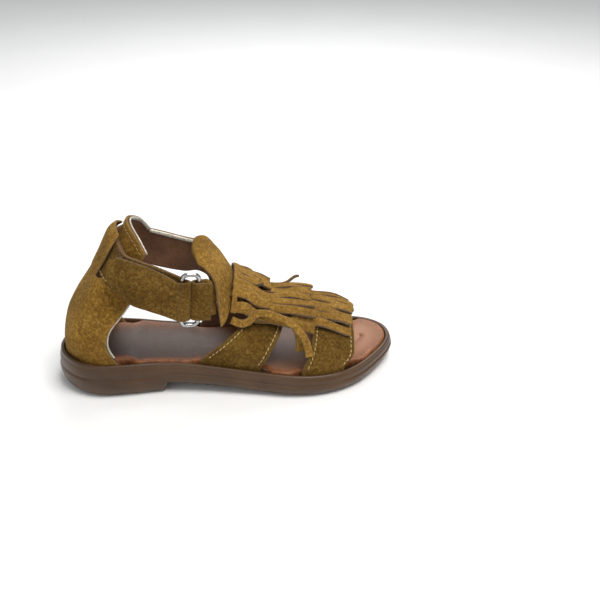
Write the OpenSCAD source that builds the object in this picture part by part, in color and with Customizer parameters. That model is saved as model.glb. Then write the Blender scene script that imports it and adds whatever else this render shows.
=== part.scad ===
// Child's T-bar sandal, right foot: suede upper with three tiers of fringe, an ankle strap that
// closes round a wire ring, and a moulded rubber cup sole.
// Toe towards +X, closure side towards -Y, standing on Z = 0. Millimetres.

/* [Sole] */
// Depth of the tray that the insole board lies in, below the rim
tray_depth = 6; // [5:0.5:7]
// Distance from the widest line of the sole to the inside of its rim
rim_inset = 3.3; // [3:0.1:3.5]
// Height of the heel breast, the step behind the waist
heel_step = 4; // [2:0.5:5]
// Thickness of the insole board
board_t = 1.6; // [1.2:0.1:2]
// Thickness of the leather over the footbed
cover_t = 1; // [0.8:0.1:1.2]

/* [Upper] */
// Thickness of the suede
suede_t = 1.4; // [1.2:0.1:1.4]
// Thickness of the lining leather
lining_t = 0.8; // [0.6:0.1:0.9]
// Thickness of the heel stiffener
stiffener_t = 0.6; // [0.4:0.1:0.7]
// Space left between two layers that are glued or sewn together
layer_gap = 0.1; // [0.05:0.05:0.12]
// Thickness of each half of the touch fastener
tape_t = 0.7; // [0.5:0.1:0.8]

/* [Ring] */
// Diameter of the ring's wire
wire_d = 2.1; // [1.8:0.1:2.3]
// Distance between the ring's two long bars, centre to centre
ring_w = 7.6; // [7:0.1:8]
// Straight length of the ring's long bars
bar_len = 20; // [19.5:0.5:21]
// Bend radius of the ring's corners, at the wire's centre
ring_corner = 2.6; // [2.2:0.1:3]

/* [Fringe] */
// Strips in each tier of the fringe
strips = 8; // [6:1:10]
// Width of the cut between two strips, as a share of a strip's pitch
cut_share = 0.12; // [0.08:0.01:0.2]
// Thickness of the fringe suede
fringe_t = 1.3; // [1:0.1:1.4]

/* [Hidden] */

suede = "#a8791f";
leather = "#8a6450";
bind_colour = "#d8d2c0";

// ---- Curves, patches and solids made from them ----

// Catmull-Rom curve through points p at place t, 0 to len(p) - 1, with free ends
function curve(p, t) =
    let (n = len(p) - 1, i = min(floor(t), n - 1), f = t - i,
         a = p[max(i - 1, 0)], b = p[i], c = p[i + 1], d = p[min(i + 2, n)])
    0.5 * (2 * b + (c - a) * f + (2 * a - 5 * b + 4 * c - d) * f * f
           + (3 * b - a - 3 * c + d) * f * f * f);

// The same through a closed list of points, t from 0 to len(p)
function loop_curve(p, t) =
    let (n = len(p), i = floor(t), f = t - i,
         a = p[(i + n - 1) % n], b = p[i % n], c = p[(i + 1) % n], d = p[(i + 2) % n])
    0.5 * (2 * b + (c - a) * f + (2 * a - 5 * b + 4 * c - d) * f * f
           + (3 * b - a - 3 * c + d) * f * f * f);

// Point of the patch through a grid of points: rows run along u, the list of rows along v
function patch(g, u, v) = curve([for (row = g) curve(row, u)], v);

// Grid of (nu + 1) by (nv + 1) points over part of a patch, given as shares 0 to 1
function grid(g, nu, nv, u0 = 0, u1 = 1, v0 = 0, v1 = 1) =
    let (mu = len(g[0]) - 1, mv = len(g) - 1)
    [for (j = [0:nv]) [for (i = [0:nu])
        patch(g, mu * (u0 + (u1 - u0) * i / nu), mv * (v0 + (v1 - v0) * j / nv))]];

function unit(v) = v / norm(v);

// Rows taken the other way round, which turns a patch's outer side over
function flip(g) = [for (r = g) [for (i = [len(r) - 1:-1:0]) r[i]]];

// Outward normal of a grid of points at column i, row j
function normal(p, i, j) =
    let (nu = len(p[0]) - 1, nv = len(p) - 1,
         du = p[j][min(i + 1, nu)] - p[j][max(i - 1, 0)],
         dv = p[min(j + 1, nv)][i] - p[max(j - 1, 0)][i])
    unit(cross(du, dv));

// Grid moved outward along its own normals, by a distance that may change with the column's share
function lift(p, d0, d1 = undef) =
    let (nu = len(p[0]) - 1, e = is_undef(d1) ? d0 : d1)
    [for (j = [0:len(p) - 1]) [for (i = [0:nu])
        p[j][i] + normal(p, i, j) * (d0 + (e - d0) * i / nu)]];

// Closed solid between an outer and an inner grid of the same size
module between(outer, inner) {
    nu = len(outer[0]) - 1;
    nv = len(outer) - 1;
    w = nu + 1;
    n = w * (nv + 1);
    pts = concat([for (r = outer) each r], [for (r = inner) each r]);
    skin = [for (j = [0:nv - 1]) for (i = [0:nu - 1])
        let (a = j * w + i, b = a + 1, c = a + w, d = c + 1)
        each [[a, c, b], [b, c, d], [n + a, n + b, n + c], [n + b, n + d, n + c]]];
    rows = [for (i = [0:nu - 1])
        let (a = i, b = nv * w + i)
        each [[a, a + 1, n + a], [a + 1, n + a + 1, n + a],
              [b, n + b, b + 1], [b + 1, n + b, n + b + 1]]];
    cols = [for (j = [0:nv - 1])
        let (a = j * w, b = a + nu)
        each [[a, n + a, a + w], [a + w, n + a, n + a + w],
              [b, b + w, n + b], [b + w, n + b + w, n + b]]];
    polyhedron(points = pts, faces = concat(skin, rows, cols), convexity = 8);
}

// Sheet of leather of thickness t, its outer face lifted by off from the grid p
module sheet(p, off, t) {
    between(lift(p, off), lift(p, off - t));
}

// Closed solid through rings that all have the same even number of points. Point k faces point
// len - k across the sole, so both end caps are strips that follow the rings' heights.
module ring_loft(rings) {
    m = len(rings[0]);
    last = (len(rings) - 1) * m;
    walls = [for (r = [0:len(rings) - 2]) for (k = [0:m - 1])
        let (a = r * m + k, b = r * m + (k + 1) % m)
        each [[a, a + m, b], [b, a + m, b + m]]];
    low = [for (k = [0:m / 2 - 1])
        let (a = k, b = k + 1, c = (m - k) % m, d = m - k - 1)
        each concat(k < m / 2 - 1 ? [[a, b, d]] : [], k > 0 ? [[a, d, c]] : [])];
    high = [for (f = low) [last + f[0], last + f[2], last + f[1]]];
    polyhedron(points = [for (r = rings) each r], faces = concat(walls, low, high), convexity = 8);
}

// ---- Sole ----

// Widest line of the sole, from the back of the heel along the lateral side to the toe and back
sole_x = [-81, -78.6, -71, -60, -46, -30, -12, 10, 30, 46, 60, 71, 78.6, 81];
lateral_y = [0, 10.5, 20.5, 25.6, 25.2, 23.4, 24.6, 28.3, 32, 30.6, 23.6, 11.5, -0.5];
medial_y = [0, 10.5, 20.5, 25.2, 24.6, 22, 21.5, 26, 31, 32, 31.4, 27.8, 20.5];
toe_tip_y = 10.5;
sides = len(sole_x) - 2;
outline = concat([[sole_x[0], 0]],
    [for (i = [1:sides]) [sole_x[i], -lateral_y[i]]],
    [[sole_x[sides + 1], toe_tip_y]],
    [for (i = [sides:-1:1]) [sole_x[i], medial_y[i]]]);

// Places along the outline where rings have their points: halves, and two close to the breast
breast_at = 5;
half_places = [for (k = [0:2 * (sides + 1)])
    each (k == 2 * breast_at ? [breast_at - 0.05, breast_at + 0.05] : [k / 2])];
back_half = [for (i = [len(half_places) - 2:-1:1]) len(outline) - half_places[i]];
places = concat(half_places, back_half);

function outline_at(t, inset) =
    let (p = loop_curve(outline, t),
         e = loop_curve(outline, t + 0.04) - loop_curve(outline, (t + len(outline) - 0.04) % len(outline)),
         n = unit([-e[1], e[0]]))
    p + n * inset;

// Height of the rim, of the tray floor and of the sole's underside at length x
rim_curve = [17, 16.8, 16, 14.4, 12.2, 10.8, 10.2, 10.4];
function along(p, x) = curve(p, (len(p) - 1) * min(max((x + 81) / 162, 0), 1));
function rim_z(x) = along(rim_curve, x);
function floor_z(x) = rim_z(x) - tray_depth;
function ease(t) = let (c = min(max(t, 0), 1)) c * c * (3 - 2 * c);
function under_z(x) = x < -30 ? 0
    : x < 34 ? heel_step * (1 - ease((x + 30) / 64))
    : 2.6 * pow(max(x - 44, 0) / 37, 2);

// Where an upper passes down into the tray the footbed is cut back: 1 there and 0 elsewhere
function window(x, a, b) = ease((x - a) / 3 + 0.5) * ease((b - x) / 3 + 0.5);
function pocket(p) = p[1] < 4 && p[0] > 0
    ? max(window(p[0], -17, 18), window(p[0], 30, 62))
    : max(window(p[0], -90, -44), window(p[0], -17, 18), window(p[0], 30, 66));

upper_total = suede_t + stiffener_t + lining_t + 3 * layer_gap;
function footbed_edge(t) =
    rim_inset + 0.15 + (upper_total + 0.3) * pocket(outline_at(t, rim_inset));

// Point where an upper passes down inside the rim, at place t of the outline: h is the share of the
// way from the tray floor to the top of the rim
function rim_point(t, h) =
    let (p = outline_at((t + len(outline)) % len(outline), rim_inset + 0.15), lo = floor_z(p[0]) + 0.3)
    [p[0], p[1], lo + (rim_z(p[0]) + 0.6 - lo) * h];

// One ring of the sole: inset from the widest line, height as share h of side plus dz
function side_ring(inset, h, dz = 0) = [for (t = places)
    let (p = outline_at(t, inset), lo = under_z(p[0]), hi = rim_z(p[0]))
    [p[0], p[1], lo + (hi - lo) * h + dz]];
// One ring of the footbed: inset beyond its edge, height from the rim
function bed_ring(inset, dz) = [for (t = places)
    let (p = outline_at(t, footbed_edge(t) + inset))
    [p[0], p[1], rim_z(p[0]) + dz]];

module outsole() {
    color("#8d6a4f")
        ring_loft([side_ring(4.6, 0), side_ring(2.4, 0, 0.7), side_ring(0.6, 0.3),
                   side_ring(0, 0.5), side_ring(0.5, 0.72), side_ring(0.9, 0.92),
                   side_ring(1.4, 1), side_ring(2.7, 1), side_ring(rim_inset, 0.97),
                   [for (q = side_ring(rim_inset, 1)) [q[0], q[1], floor_z(q[0])]]]);
}

module insole_board() {
    color("#b59a78")
        ring_loft([bed_ring(0.1, 0.05 - tray_depth), bed_ring(0.1, board_t - tray_depth)]);
}

foam_base = board_t + 0.05 - tray_depth;
module footbed_foam() {
    color("#e8d9b8")
        ring_loft([bed_ring(cover_t + 0.1, foam_base), bed_ring(cover_t + 0.1, -0.9),
                   bed_ring(cover_t + 1.4, 0.3 - cover_t), bed_ring(6.5, -0.9 - cover_t),
                   bed_ring(12, -1.6 - cover_t)]);
}

module footbed_cover() {
    color(leather)
        ring_loft([bed_ring(12, -1.5 - cover_t), bed_ring(6.5, -0.8 - cover_t),
                   bed_ring(cover_t + 1.4, 0.4 - cover_t), bed_ring(cover_t, -0.8),
                   bed_ring(cover_t, foam_base), bed_ring(0, foam_base), bed_ring(0, -0.4),
                   bed_ring(1.2, 0.5), bed_ring(6.5, -0.8), bed_ring(12, -1.5)]);
}

// ---- Heel ----

// One level of the heel: back xb, half width w, front edge xf, height z at front and zb at back
function heel_row(xb, w, xf, z, zb) =
    let (xc = min(-57, xf - 5), side = [[xf, w, z], [(xf + xc) / 2, w, z + (zb - z) * 0.1]],
         bend = [for (a = [90, 62, 34]) [xc - (xc - xb) * pow(cos(a), 0.86),
                 w * pow(sin(a), 0.86), z + (zb - z) * (0.2 + 0.8 * (90 - a) / 90)]])
    concat([for (q = concat(side, bend)) [q[0], -q[1], q[2]]], [[xb, 0, zb]],
           [for (i = [2:-1:0]) bend[i]], [side[1], side[0]]);

// Places of the eleven columns of the heel on the sole's outline, half of them on each side
heel_places = [4, 3.6, 3.15, 2.35, 1.15];
function heel_base(h, back = 0) =
    let (half = [for (t = heel_places) t - back * (t > 3.3 ? t - 3.2 : 0)])
    concat([for (t = half) rim_point(t, h)], [rim_point(0, h)], [for (i = [4:-1:0]) rim_point(-half[i], h)]);

quarter = flip([heel_base(0), heel_base(1, 0.5),
           heel_row(-77, 23, -55.5, 25, 26), heel_row(-74.6, 23.2, -54, 33, 36),
           heel_row(-70, 22.3, -48, 41, 45), heel_row(-66, 19.8, -43.5, 47.5, 51),
           heel_row(-62.4, 17.3, -42.5, 54, 56)]);
quarter_pts = grid(quarter, 28, 12);

module heel_quarter() {
    color(suede) sheet(quarter_pts, 0, suede_t);
}

module heel_stiffener() {
    color("#c9b899")
        sheet([for (j = [1:8]) [for (i = [3:25]) quarter_pts[j][i]]], -suede_t - layer_gap - 0.03,
              stiffener_t - 0.06);
}

module heel_lining() {
    color(leather)
        sheet(quarter_pts, -suede_t - 2 * layer_gap - stiffener_t, lining_t);
}

// Binding that wraps the two front edges of the heel: a round cord just off each edge
module edge_cord(p, r) {
    n = len(p) - 1;
    m = 6;
    rings = [for (i = [0:n])
        let (t = unit(p[min(i + 1, n)] - p[max(i - 1, 0)]), a = unit(cross(t, [0.3, 0, 1])), b = cross(t, a))
        [for (k = [0:m - 1]) p[i] + r * (a * cos(360 * k / m) + b * sin(360 * k / m))]];
    walls = [for (i = [0:n - 1]) for (k = [0:m - 1])
        let (a = i * m + k, b = i * m + (k + 1) % m)
        each [[a, b, a + m], [b, b + m, a + m]]];
    low = [for (k = [1:m - 2]) [0, k + 1, k]];
    high = [for (k = [1:m - 2]) [n * m, n * m + k, n * m + k + 1]];
    polyhedron(points = [for (r = rings) each r], faces = concat(walls, low, high), convexity = 6);
}

bind_r = 0.7;
module quarter_binding() {
    mid = lift(quarter_pts, -upper_total / 2);
    rows = [for (j = [2:9]) j];
    color(bind_colour) {
        edge_cord([for (j = rows) mid[j][0] + [bind_r + 0.5, 0, 0]], bind_r);
        edge_cord([for (j = rows) mid[j][len(mid[j]) - 1] + [bind_r + 0.5, 0, 0]], bind_r);
    }
}

// Outer wall of the tunnel at the back that the ankle strap runs through
back_loop_grid = flip([
    [[-59.5, -13.5, 56.3], [-61.9, -7, 56.4], [-62.4, 0, 56.4], [-61.9, 7, 56.4], [-59.5, 13.5, 56.3]],
    [[-55.2, -14, 63], [-57.8, -7.3, 63.6], [-58.6, 0, 63.8], [-57.8, 7.3, 63.6], [-55.2, 14, 63]],
    [[-50.2, -14, 71], [-52.8, -7.2, 73], [-53.5, 0, 73.8], [-52.8, 7.2, 73], [-50.2, 14, 71]],
    [[-46.5, -9.5, 74.6], [-48.8, -5, 77], [-49.4, 0, 77.8], [-48.8, 5, 77], [-46.5, 9.5, 74.6]]]);
module back_loop() {
    color(suede) sheet(grid(back_loop_grid, 12, 9), 0, suede_t);
}

back_flap_grid = flip([
    [[-46.2, -15.6, 57.5], [-51.6, -11, 57.5], [-55.2, -5.6, 57.5], [-56.2, 0, 57.5],
     [-55.2, 5.6, 57.5], [-51.6, 11, 57.5], [-46.2, 15.6, 57.5]],
    [[-40.4, -16.4, 62], [-47.6, -11.8, 64], [-51.3, -6, 65], [-52.3, 0, 65.3],
     [-51.3, 6, 65], [-47.6, 11.8, 64], [-40.4, 16.4, 62]],
    [[-36.8, -16.8, 66], [-43.4, -12.2, 70], [-47, -6.2, 72], [-48, 0, 72.7],
     [-47, 6.2, 72], [-43.4, 12.2, 70], [-36.8, 16.8, 66]],
    [[-35.6, -16.4, 68.6], [-39.4, -12.6, 75], [-43, -6.5, 78.6], [-44.4, 0, 80],
     [-43, 6.5, 78.6], [-39.4, 12.6, 75], [-35.6, 16.4, 68.6]]]);
back_flap_pts = grid(back_flap_grid, 18, 8);
module back_flap() {
    color(suede) sheet(back_flap_pts, 0, 1.2);
}

module back_flap_lining() {
    color(leather) sheet(back_flap_pts, -1.2 - layer_gap, lining_t);
}

module back_flap_binding() {
    top = lift(back_flap_pts, -1.05)[len(back_flap_pts) - 1];
    color(bind_colour) edge_cord([for (q = top) q + unit([q[0] + 58, q[1] * 0.3, 9]) * 1.1], bind_r - 0.1);
}

// ---- Forefoot ----

// Toe strap: its front and rear edge between the two bases, from the lateral to the medial side
toe_rear = [[36.5, -26.9, 18.5], [38.5, -22, 24.7], [40, -12, 29.6], [41, 0, 31.2], [41, 12, 30.2],
            [40, 22, 25.5], [38, 26.8, 18.5]];
toe_front = [[58.2, -21, 15.6], [59, -17, 20.4], [59.5, -9, 23.6], [60, 1, 24.6], [60.5, 11, 24.2],
             [61.2, 20, 21], [62.4, 26, 15.5]];
function strap_row(t, upper) =
    concat([rim_point(t, 0), rim_point(t, 1)], upper, [rim_point(-t, 1), rim_point(-t, 0)]);
toe_grid = [strap_row(9.66, toe_front),
            strap_row(8.95, (toe_front + toe_rear) / 2 + [for (q = toe_rear) [0, 0.03 * q[1], 0.5]]),
            strap_row(8.2, toe_rear)];
toe_pts = grid(toe_grid, 30, 6);

module toe_strap() {
    color(suede) sheet(toe_pts, 0, suede_t);
}

module toe_strap_lining() {
    color(leather) sheet(toe_pts, -suede_t - layer_gap, lining_t);
}

// Side strap, from above its base to the middle: its front edge and its rear edge. The places on
// the outline are those of its front, middle and rear; k is 1 for lateral and -1 for medial.
side_front = [[17.5, -27.4, 19], [22.6, -23.6, 27.2], [25.5, -15.5, 30], [27, -8, 31]];
side_rear = [[-4, -23.4, 25], [4, -20.6, 31.4], [8, -14, 34.2], [10, -8, 35.4]];
side_places = [7.17, 6.55, 5.9];
function side_row(k, t, upper) =
    concat([rim_point(k * t, 0), rim_point(k * t, 1)], [for (q = upper) [q[0], k * q[1], q[2]]]);
function side_grid(k) =
    let (mid = (side_front + side_rear) / 2 + [for (q = side_rear) [0, -0.7, 0]],
         rows = [side_row(k, side_places[0], side_front), side_row(k, side_places[1], mid),
                 side_row(k, side_places[2], side_rear)])
    k > 0 ? rows : [rows[2], rows[1], rows[0]];
lateral_side_pts = grid(side_grid(1), 16, 8);
medial_side_pts = grid(side_grid(-1), 16, 8);

module lateral_side_strap() {
    color(suede) sheet(lateral_side_pts, 0, suede_t);
}

module lateral_side_lining() {
    color(leather) sheet(lateral_side_pts, -suede_t - layer_gap, lining_t);
}

module medial_side_strap() {
    color(suede) sheet(medial_side_pts, 0, suede_t);
}

module medial_side_lining() {
    color(leather) sheet(medial_side_pts, -suede_t - layer_gap, lining_t);
}

// Rows across the foot: x and height at the middle, half width and drop at the edge
function arch_row(x, z, w, drop, back = 0, n = 6) = [for (i = [0:n])
    let (s = 2 * i / n - 1)
    [x - back * s * s, w * sin(90 * s) * 0.35 + w * s * 0.65, z - drop * s * s * (0.6 + 0.4 * s * s)]];

t_strap_grid = [arch_row(43.5, 26.6, 12, 2.4), arch_row(36, 31.2, 11.8, 2.6), arch_row(28, 36, 11.8, 3),
                arch_row(20, 38.6, 12.2, 3.4), arch_row(12, 40.2, 14, 4.4, 1), arch_row(4.6, 47.6, 17, 9, 2.4)];
module t_strap() {
    color(suede) sheet(grid(t_strap_grid, 10, 12), 0, suede_t);
}

// Fringe: header band over the first part of a tier's length, cut strips over the rest
header_share = 0.16;
module fringe(g) {
    sheet(grid(g, 12, 2, 0, 1, 1 - header_share, 1), 0, fringe_t);
    for (k = [0:strips - 1]) {
        u0 = (k + cut_share / 2) / strips;
        u1 = (k + 1 - cut_share / 2) / strips;
        sheet(grid(g, 2, 6, u0, u1, 0, 1 - header_share), 0, fringe_t);
    }
}

tier_1 = [arch_row(21.5, 42.9, 19.6, 8.4, 2), arch_row(16, 45.8, 19.4, 9.6, 2),
          arch_row(10.5, 50, 19, 12, 2), arch_row(3.9, 53.4, 18.4, 14.4, 2.6)];
tier_2 = [arch_row(41.5, 38.6, 19.6, 9, 1), arch_row(31, 41, 19, 8.6, 1),
          arch_row(21.5, 41, 18.4, 8.2, 1), arch_row(13, 42.4, 17.6, 8.6, 1)];
tier_3 = [arch_row(61, 29, 16.2, 4.4, 2), arch_row(51, 33.6, 16.6, 4.8, 1.4),
          arch_row(40, 36.6, 16.6, 5.4, 1), arch_row(30, 38.6, 16, 6, 0.6)];

module fringe_tier_1() {
    color(suede) fringe(tier_1);
}

module fringe_tier_2() {
    color(suede) fringe(tier_2);
}

module fringe_tier_3() {
    color(suede) fringe(tier_3);
}

// ---- Collar and ankle strap ----

// Collar: outer face from the fringe seam up to the fold, over the strap's top edge and down inside
collar_low = [[-0.8, -20.9, 32.5], [1.4, -15.8, 44.5], [2.8, -8, 49.4], [3.4, 1, 51],
              [2.8, 9, 49.6], [1.4, 16, 44.5], [-0.8, 20.6, 35.5]];
collar_mid = [[-3.4, -21.4, 44.5], [-2.2, -16.4, 50.8], [-0.8, -8.4, 54.8], [-0.2, 1, 56.4],
              [-0.8, 9.2, 55], [-2.2, 16.6, 50.6], [-3.6, 21.2, 44.5]];
collar_up = [[-4.4, -20.6, 55.4], [-5, -15.8, 58.4], [-5.2, -8.4, 61], [-5, 1, 62.4],
             [-5.2, 9.2, 61.4], [-5.2, 16.2, 58.2], [-5, 20.8, 54.6]];
collar_top = [[-8.6, -18.8, 61.2], [-9, -14.6, 63], [-9.4, -8.2, 65.4], [-9.5, 1, 66.6],
              [-9.4, 9, 65.8], [-9.2, 15, 63.2], [-9, 19.4, 60.6]];
collar_depth = 8;
// Way into the shoe from a point of the collar: back, down and towards the middle
function inward(q) = unit([-0.68, -q[1] / 15, -0.64 * (1 - abs(q[1]) / 34)]);
function inner_row(r, d) = [for (q = r) q + inward(q) * d];
collar_grid = [collar_low, collar_mid, collar_up, collar_top,
               [for (q = collar_top) q + inward(q) * collar_depth * 0.5 + [-2.2, 0, 2]],
               inner_row(collar_top, collar_depth), inner_row(collar_up, collar_depth),
               inner_row(collar_mid, collar_depth)];
// Point between the collar's two layers: column c, place v from its low edge, 0, to its top, 3
function in_collar(c, v, d) =
    let (q = curve([collar_low[c], collar_mid[c], collar_up[c], collar_top[c]], v)) q + inward(q) * d;
module collar_loop() {
    color(suede) sheet(grid(collar_grid, 18, 20), 0, suede_t);
}

// Ankle strap, outer face, from the ring round the heel and the inner ankle into the collar
strap_in = 1.9;
strap_top = concat([[-19.6, -21.4, 58.6], [-30, -22.2, 64.4], [-38, -22.2, 67.8], [-44.6, -20.4, 70.4],
                    [-47.8, -11.8, 72.2], [-50.5, 0, 73.6], [-47.4, 11.8, 72], [-42.5, 20, 68.4],
                    [-31, 21.8, 64.4], [-21, 21.4, 61.4], [-14.6, 20.2, 60.2]],
                   [for (c = [6:-1:3]) in_collar(c, 2.75, strap_in)]);
strap_low = concat([[-21.2, -21.8, 39.2], [-31, -23, 43.6], [-40, -23.4, 47.6], [-48.6, -21.8, 51.6],
                    [-56.2, -14.2, 56.4], [-59.4, 0, 58], [-56.4, 14, 56], [-49.5, 21.6, 51.4],
                    [-34, 23.2, 45.6], [-21, 22.4, 42.8], [-12.6, 21.8, 42.8]],
                   [for (c = [6:-1:3]) in_collar(c, 0.3, strap_in)]);
strap_mid = (strap_top + strap_low) / 2 + [for (q = strap_top) [0, 0.02 * q[1], 0]];
strap_grid = [strap_top, strap_mid, strap_low];
strap_pts = grid(strap_grid, 56, 4);

module ankle_strap() {
    color(suede) sheet(strap_pts, 0, suede_t - 0.2);
}

module ankle_strap_lining() {
    color(leather) sheet(strap_pts, -suede_t + 0.2 - layer_gap, lining_t);
}

module ankle_strap_piping() {
    edge = [for (i = [26:40]) (strap_pts[0][i] + lift(strap_pts, -2)[0][i]) / 2 + [0, 0, bind_r + 0.15]];
    color(bind_colour) edge_cord(edge, bind_r - 0.1);
}

// ---- Ring, closure and their frame ----

// The ring stands on the line of the rear bar, leaning forward with the strap
rear_bar = [-20.3, -24.1, 49];
bar_lean = 4.2;
ring_yaw = 9;
bar_gap = 0.6;
fold_r = wire_d / 2 + bar_gap;

// Children are placed with Z along the rear bar and X from the rear bar to the front bar
module at_ring() {
    translate(rear_bar) rotate([0, bar_lean, 0]) rotate([0, 0, ring_yaw]) children();
}

module bar(x) {
    translate([x, 0, -bar_len / 2]) cylinder(d = wire_d, h = bar_len, $fn = 48);
}

// Corner of the ring: a quarter turn of wire in the XZ plane, from start to start + 90 degrees
module corner(x, start) {
    translate([x, 0, bar_len / 2]) rotate([90, 0, 0]) rotate([0, 0, start])
        rotate_extrude(angle = 90, $fn = 64)
            translate([ring_corner, 0]) circle(d = wire_d, $fn = 32);
}

module ring_end() {
    corner(ring_corner, 90);
    corner(ring_w - ring_corner, 0);
    translate([ring_corner, 0, bar_len / 2 + ring_corner]) rotate([0, 90, 0])
        cylinder(d = wire_d, h = ring_w - 2 * ring_corner, $fn = 48);
}

module ring() {
    color("silver") at_ring() {
        bar(0);
        bar(ring_w);
        ring_end();
        mirror([0, 0, 1]) ring_end();
    }
}

// Half-round turn of leather about a bar, opening towards -X
module turn(r, t, h) {
    translate([0, 0, -h / 2]) linear_extrude(h)
        difference() {
            circle(r = r + t, $fn = 64);
            circle(r = r, $fn = 64);
            translate([-2 * (r + t), -r - t - 1]) square([2 * (r + t), 2 * (r + t) + 2]);
        }
}

strap_fold_h = 19;
module strap_fold() {
    color(suede) at_ring() rotate([0, 0, -ring_yaw]) turn(fold_r, suede_t - 0.2, strap_fold_h);
}

keeper_r = wire_d / 2 + 0.3;
keeper_h = 18;
tail_at = 4.2;
module ring_strap() {
    color(suede) at_ring() translate([ring_w, 0, 0]) {
        mirror([1, 0, 0]) turn(keeper_r, 1.3, keeper_h);
        translate([0, -keeper_r - 1.3, -keeper_h / 2]) cube([5.6, 1.3, keeper_h]);
        translate([0, keeper_r, -keeper_h / 2]) cube([tail_at, 1.3, keeper_h]);
        translate([tail_at, keeper_r, 0]) rotate([0, 0, 20]) rotate([90, 0, 0])
            translate([0, 0, -1.3]) linear_extrude(1.3)
                polygon([[0, -keeper_h / 2], [5.8, -keeper_h / 2], [1.6, keeper_h / 2], [0, keeper_h / 2]]);
    }
}

// Closure flap, outer face, from the ring back to its free end
flap_top = [[-20.3, -26.9, 58.8], [-26, -26.6, 63], [-33, -26.4, 67], [-41.5, -26.3, 70.6], [-51.2, -23.2, 72.6]];
flap_low = [[-21.7, -26.9, 39.4], [-28, -26.8, 42.4], [-35.6, -26.9, 45.6], [-43.6, -26.8, 49.4],
            [-53.8, -23.2, 57.4]];
flap_grid = [flap_top, flap_low];
flap_pts = grid(flap_grid, 18, 6);

module closure_flap() {
    // The free end's corners are rounded by drawing the grid's last columns in
    rounded = [for (j = [0:6]) [for (i = [0:18])
        let (s = j / 3 - 1, in = i > 15 ? (i - 15) / 3 * 3.2 * s * s : 0)
        flap_pts[j][i] + (flap_pts[j][0] - flap_pts[j][18]) / 32 * in * 0.6
        - (flap_pts[j][i] - flap_pts[3][i]) / 10.5 * in * 0.25]];
    color(suede) sheet(rounded, 0, suede_t - 0.1);
}

module hook_patch() {
    color("#5a4632")
        sheet(grid(flap_grid, 8, 3, 0.34, 0.88, 0.12, 0.88),
              -suede_t + 0.1 - layer_gap, tape_t);
}

module loop_patch() {
    color("#5a4632")
        sheet(grid(strap_grid, 12, 4, 0.065, 0.23, 0.1, 0.9), tape_t + 0.2, tape_t);
}

outsole();
insole_board();
footbed_foam();
footbed_cover();
heel_quarter();
heel_stiffener();
heel_lining();
quarter_binding();
back_loop();
back_flap();
back_flap_lining();
back_flap_binding();
toe_strap();
toe_strap_lining();
lateral_side_strap();
lateral_side_lining();
medial_side_strap();
medial_side_lining();
t_strap();
collar_loop();
ankle_strap();
ankle_strap_lining();
ankle_strap_piping();
ring_strap();
ring();
strap_fold();
loop_patch();
hook_patch();
closure_flap();
fringe_tier_1();
fringe_tier_2();
fringe_tier_3();
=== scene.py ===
"""Child's fringed T-bar sandal: soft goods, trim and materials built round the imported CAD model.

Shapes are worked out in millimetres and turned into metres when a mesh is made.
"""
import math

import bpy
import numpy as np
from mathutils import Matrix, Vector, noise


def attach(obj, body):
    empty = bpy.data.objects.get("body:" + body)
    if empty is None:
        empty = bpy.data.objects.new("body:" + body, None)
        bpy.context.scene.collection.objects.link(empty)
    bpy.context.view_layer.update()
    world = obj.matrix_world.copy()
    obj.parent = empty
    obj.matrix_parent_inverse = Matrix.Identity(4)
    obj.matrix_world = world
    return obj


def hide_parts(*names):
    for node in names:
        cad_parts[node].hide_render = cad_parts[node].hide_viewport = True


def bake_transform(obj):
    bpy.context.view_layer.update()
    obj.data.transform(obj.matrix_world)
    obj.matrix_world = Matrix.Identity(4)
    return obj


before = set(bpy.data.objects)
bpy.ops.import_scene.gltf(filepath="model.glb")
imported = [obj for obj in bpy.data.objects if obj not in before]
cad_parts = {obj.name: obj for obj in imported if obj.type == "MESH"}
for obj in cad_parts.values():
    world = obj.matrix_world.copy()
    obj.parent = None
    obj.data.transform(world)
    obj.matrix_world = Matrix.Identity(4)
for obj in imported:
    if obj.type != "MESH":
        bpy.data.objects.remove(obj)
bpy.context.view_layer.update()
MM = 0.001
rng = np.random.default_rng(11)

# ------------ sizes shared with the CAD model

SUEDE, LINING, STIFFENER, LAYER_GAP, TAPE = 1.4, 0.8, 0.6, 0.1, 0.7
RIM_INSET, TRAY_DEPTH, HEEL_STEP, COVER = 3.3, 6.0, 4.0, 1.0
UPPER_TOTAL = SUEDE + STIFFENER + LINING + 3 * LAYER_GAP
RING_WIDTH, WIRE = 7.6, 2.1
REAR_BAR = np.array([-20.3, -24.1, 49.0])
BAR_LEAN, RING_YAW = math.radians(4.2), math.radians(9)
FOLD_R = WIRE / 2 + 0.6


# ------------ curves and patches


def hermite_blend(a, b, c, d, f):
    """Catmull-Rom between b and c at share f."""
    return 0.5 * (2 * b + (c - a) * f + (2 * a - 5 * b + 4 * c - d) * f**2
                  + (3 * b - a - 3 * c + d) * f**3)


def curve(points, t):
    """Open Catmull-Rom curve at places t, 0 to len - 1. Points may be rows of any shape."""
    p, t = np.asarray(points, float), np.atleast_1d(np.asarray(t, float))
    n = len(p) - 1
    i = np.minimum(np.floor(t).astype(int), n - 1)
    f = (t - i).reshape((-1,) + (1,) * (p.ndim - 1))
    return hermite_blend(p[np.maximum(i - 1, 0)], p[i], p[i + 1], p[np.minimum(i + 2, n)], f)


def loop_curve(points, t):
    """Closed Catmull-Rom curve."""
    p, t = np.asarray(points, float), np.atleast_1d(np.asarray(t, float))
    n = len(p)
    i = np.floor(t).astype(int)
    f = (t - i)[:, None]
    return hermite_blend(p[(i - 1) % n], p[i % n], p[(i + 1) % n], p[(i + 2) % n], f)


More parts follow.
